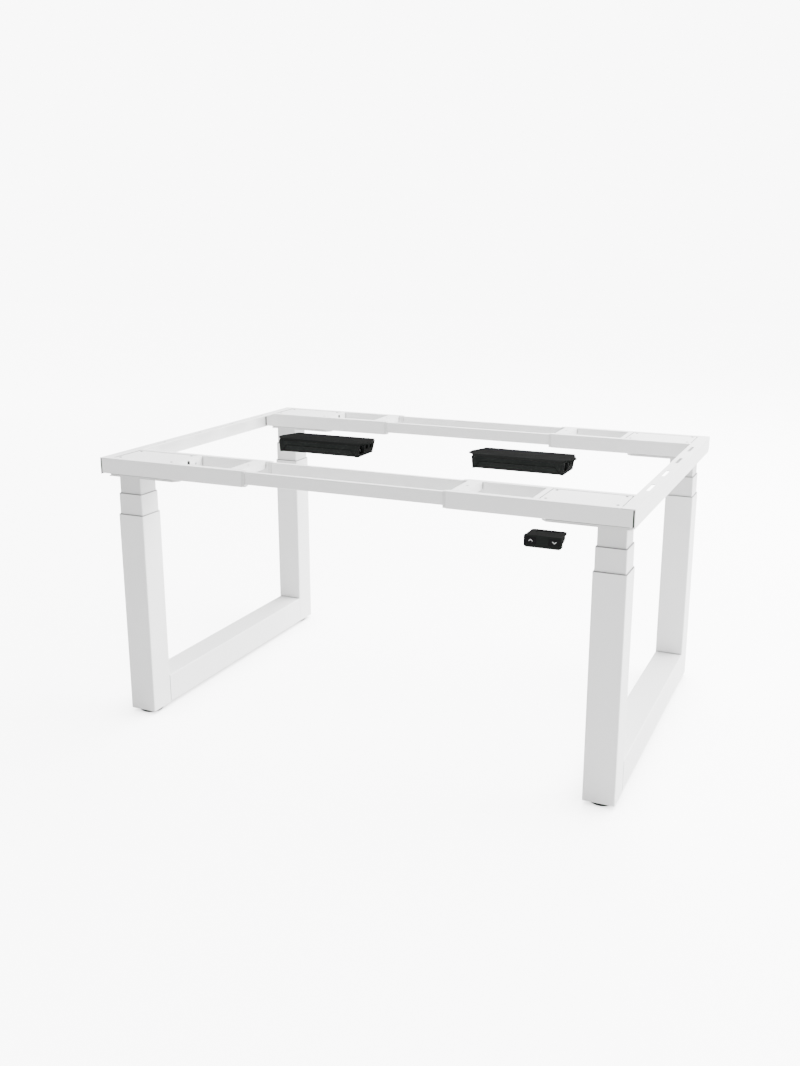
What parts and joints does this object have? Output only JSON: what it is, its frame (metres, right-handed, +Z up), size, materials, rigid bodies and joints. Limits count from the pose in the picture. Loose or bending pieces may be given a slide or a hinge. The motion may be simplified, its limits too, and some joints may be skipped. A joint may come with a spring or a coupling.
{
  "type": "standing desk frame",
  "caption": "Electric standing desk frame: telescopic square legs on loop feet, extending top rails, slotted side rails, control boxes and a keyed handset.",
  "frame": {"origin": "on the floor, at the middle of the four feet", "axes": "+X to the frame's right end, +Y to its back, +Z up"},
  "size_m": [1.26, 1.131, 0.653],
  "materials": {
    "white": "fine powder coat",
    "nylon": "moulded, satin",
    "case": "fine spark grain",
    "bare_steel": "oiled",
    "bronze": "machined",
    "motor": "cast and turned"
  },
  "bodies": {
    "left_base": {"left_front_outer_tube": "white", "left_rear_outer_tube": "white", "left_foot_beam": "white", "left_outer_bushes": "nylon", "left_lower_nuts": "bronze"},
    "left_mid": {"left_front_mid_tube": "white", "left_rear_mid_tube": "white", "left_mid_bushes": "nylon", "left_upper_nuts": "bronze"},
    "left_top": {"left_front_inner_tube": "white", "left_rear_inner_tube": "white", "left_front_bracket": "white", "left_rear_bracket": "white", "left_front_motor_cover": "white", "left_rear_motor_cover": "white", "left_side_rail": "white", "left_gear_motors": "motor", "left_top_bushes": "nylon"},
    "right_base": {"right_front_outer_tube": "white", "right_rear_outer_tube": "white", "right_foot_beam": "white", "right_outer_bushes": "nylon", "right_lower_nuts": "bronze"},
    "right_mid": {"right_front_mid_tube": "white", "right_rear_mid_tube": "white", "right_mid_bushes": "nylon", "right_upper_nuts": "bronze"},
    "right_top": {"right_front_inner_tube": "white", "right_rear_inner_tube": "white", "right_front_bracket": "white", "right_rear_bracket": "white", "right_front_motor_cover": "white", "right_rear_motor_cover": "white", "right_side_rail": "white", "right_gear_motors": "motor", "right_top_bushes": "nylon"},
    "centre": {"front_outer_rail": "white", "front_inner_rail": "white", "rear_inner_rail": "white", "rear_outer_rail": "white", "left_box_tray": "case", "right_box_tray": "case", "left_box_lid": "case", "right_box_lid": "case", "handset_body": "case"},
    "up_key": {"up_key": "case"},
    "down_key": {"down_key": "case"},
    "left_front_glide": {"left_front_glide": "nylon"},
    "left_front_upper_screw": {"left_front_upper_screw": "bare_steel"},
    "left_front_lower_screw": {"left_front_lower_screw": "bare_steel"},
    "left_rear_glide": {"left_rear_glide": "nylon"},
    "left_rear_upper_screw": {"left_rear_upper_screw": "bare_steel"},
    "left_rear_lower_screw": {"left_rear_lower_screw": "bare_steel"},
    "right_front_glide": {"right_front_glide": "nylon"},
    "right_front_upper_screw": {"right_front_upper_screw": "bare_steel"},
    "right_front_lower_screw": {"right_front_lower_screw": "bare_steel"},
    "right_rear_glide": {"right_rear_glide": "nylon"},
    "right_rear_upper_screw": {"right_rear_upper_screw": "bare_steel"},
    "right_rear_lower_screw": {"right_rear_lower_screw": "bare_steel"}
  },
  "joints": [
    {"name": "lift", "type": "slide", "parent": "left_base", "child": "left_top", "axis": [0, 0, 1], "range_m": [0, 0.6]},
    {"name": "left_mid_slide", "type": "slide", "parent": "left_base", "child": "left_mid", "axis": [0, 0, 1], "range_m": [0, 0.3]},
    {"name": "left_width_slide", "type": "slide", "parent": "left_top", "child": "centre", "axis": [1, 0, 0], "range_m": [-0.08, 0.17]},
    {"name": "right_width_slide", "type": "slide", "parent": "centre", "child": "right_top", "axis": [1, 0, 0], "range_m": [-0.08, 0.17]},
    {"name": "right_mid_slide", "type": "slide", "parent": "right_top", "child": "right_mid", "axis": [0, 0, -1], "range_m": [0, 0.3]},
    {"name": "right_base_slide", "type": "slide", "parent": "right_top", "child": "right_base", "axis": [0, 0, -1], "range_m": [0, 0.6]},
    {"name": "left_front_glide_level", "type": "slide", "parent": "left_base", "child": "left_front_glide", "axis": [0, 0, -1], "range_m": [0, 0.01]},
    {"name": "left_front_upper_screw_turn", "type": "hinge", "parent": "left_top", "child": "left_front_upper_screw", "pos_m": [-0.5785, -0.3685, 0.5], "axis": [0, 0, 1], "range_deg": [0, 10800]},
    {"name": "left_front_lower_screw_turn", "type": "hinge", "parent": "left_mid", "child": "left_front_lower_screw", "pos_m": [-0.5785, -0.3685, 0.5], "axis": [0, 0, 1], "range_deg": [0, 10800]},
    {"name": "left_rear_glide_level", "type": "slide", "parent": "left_base", "child": "left_rear_glide", "axis": [0, 0, -1], "range_m": [0, 0.01]},
    {"name": "left_rear_upper_screw_turn", "type": "hinge", "parent": "left_top", "child": "left_rear_upper_screw", "pos_m": [-0.5785, 0.3685, 0.5], "axis": [0, 0, 1], "range_deg": [0, 10800]},
    {"name": "left_rear_lower_screw_turn", "type": "hinge", "parent": "left_mid", "child": "left_rear_lower_screw", "pos_m": [-0.5785, 0.3685, 0.5], "axis": [0, 0, 1], "range_deg": [0, 10800]},
    {"name": "right_front_glide_level", "type": "slide", "parent": "right_base", "child": "right_front_glide", "axis": [0, 0, -1], "range_m": [0, 0.01]},
    {"name": "right_front_upper_screw_turn", "type": "hinge", "parent": "right_top", "child": "right_front_upper_screw", "pos_m": [0.5785, -0.3685, 0.5], "axis": [0, 0, 1], "range_deg": [0, 10800]},
    {"name": "right_front_lower_screw_turn", "type": "hinge", "parent": "right_mid", "child": "right_front_lower_screw", "pos_m": [0.5785, -0.3685, 0.5], "axis": [0, 0, 1], "range_deg": [0, 10800]},
    {"name": "right_rear_glide_level", "type": "slide", "parent": "right_base", "child": "right_rear_glide", "axis": [0, 0, -1], "range_m": [0, 0.01]},
    {"name": "right_rear_upper_screw_turn", "type": "hinge", "parent": "right_top", "child": "right_rear_upper_screw", "pos_m": [0.5785, 0.3685, 0.5], "axis": [0, 0, 1], "range_deg": [0, 10800]},
    {"name": "right_rear_lower_screw_turn", "type": "hinge", "parent": "right_mid", "child": "right_rear_lower_screw", "pos_m": [0.5785, 0.3685, 0.5], "axis": [0, 0, 1], "range_deg": [0, 10800]},
    {"name": "up_key_press", "type": "slide", "parent": "centre", "child": "up_key", "axis": [0, 1, 0], "range_m": [0, 0.0006], "stiffness_N_per_m": 4000},
    {"name": "down_key_press", "type": "slide", "parent": "centre", "child": "down_key", "axis": [0, 1, 0], "range_m": [0, 0.0006], "stiffness_N_per_m": 4000}
  ],
  "couplings": [
    {"joint": "left_mid_slide", "follows": "lift", "ratio": 0.5},
    {"joint": "right_mid_slide", "follows": "lift", "ratio": 0.5},
    {"joint": "right_base_slide", "follows": "lift", "ratio": 1},
    {"joint": "left_front_upper_screw_turn", "follows": "lift", "rad_per_m": 314.16},
    {"joint": "left_front_lower_screw_turn", "follows": "lift", "rad_per_m": 314.16},
    {"joint": "left_rear_upper_screw_turn", "follows": "lift", "rad_per_m": 314.16},
    {"joint": "left_rear_lower_screw_turn", "follows": "lift", "rad_per_m": 314.16},
    {"joint": "right_front_upper_screw_turn", "follows": "lift", "rad_per_m": 314.16},
    {"joint": "right_front_lower_screw_turn", "follows": "lift", "rad_per_m": 314.16},
    {"joint": "right_rear_upper_screw_turn", "follows": "lift", "rad_per_m": 314.16},
    {"joint": "right_rear_lower_screw_turn", "follows": "lift", "rad_per_m": 314.16}
  ]
}
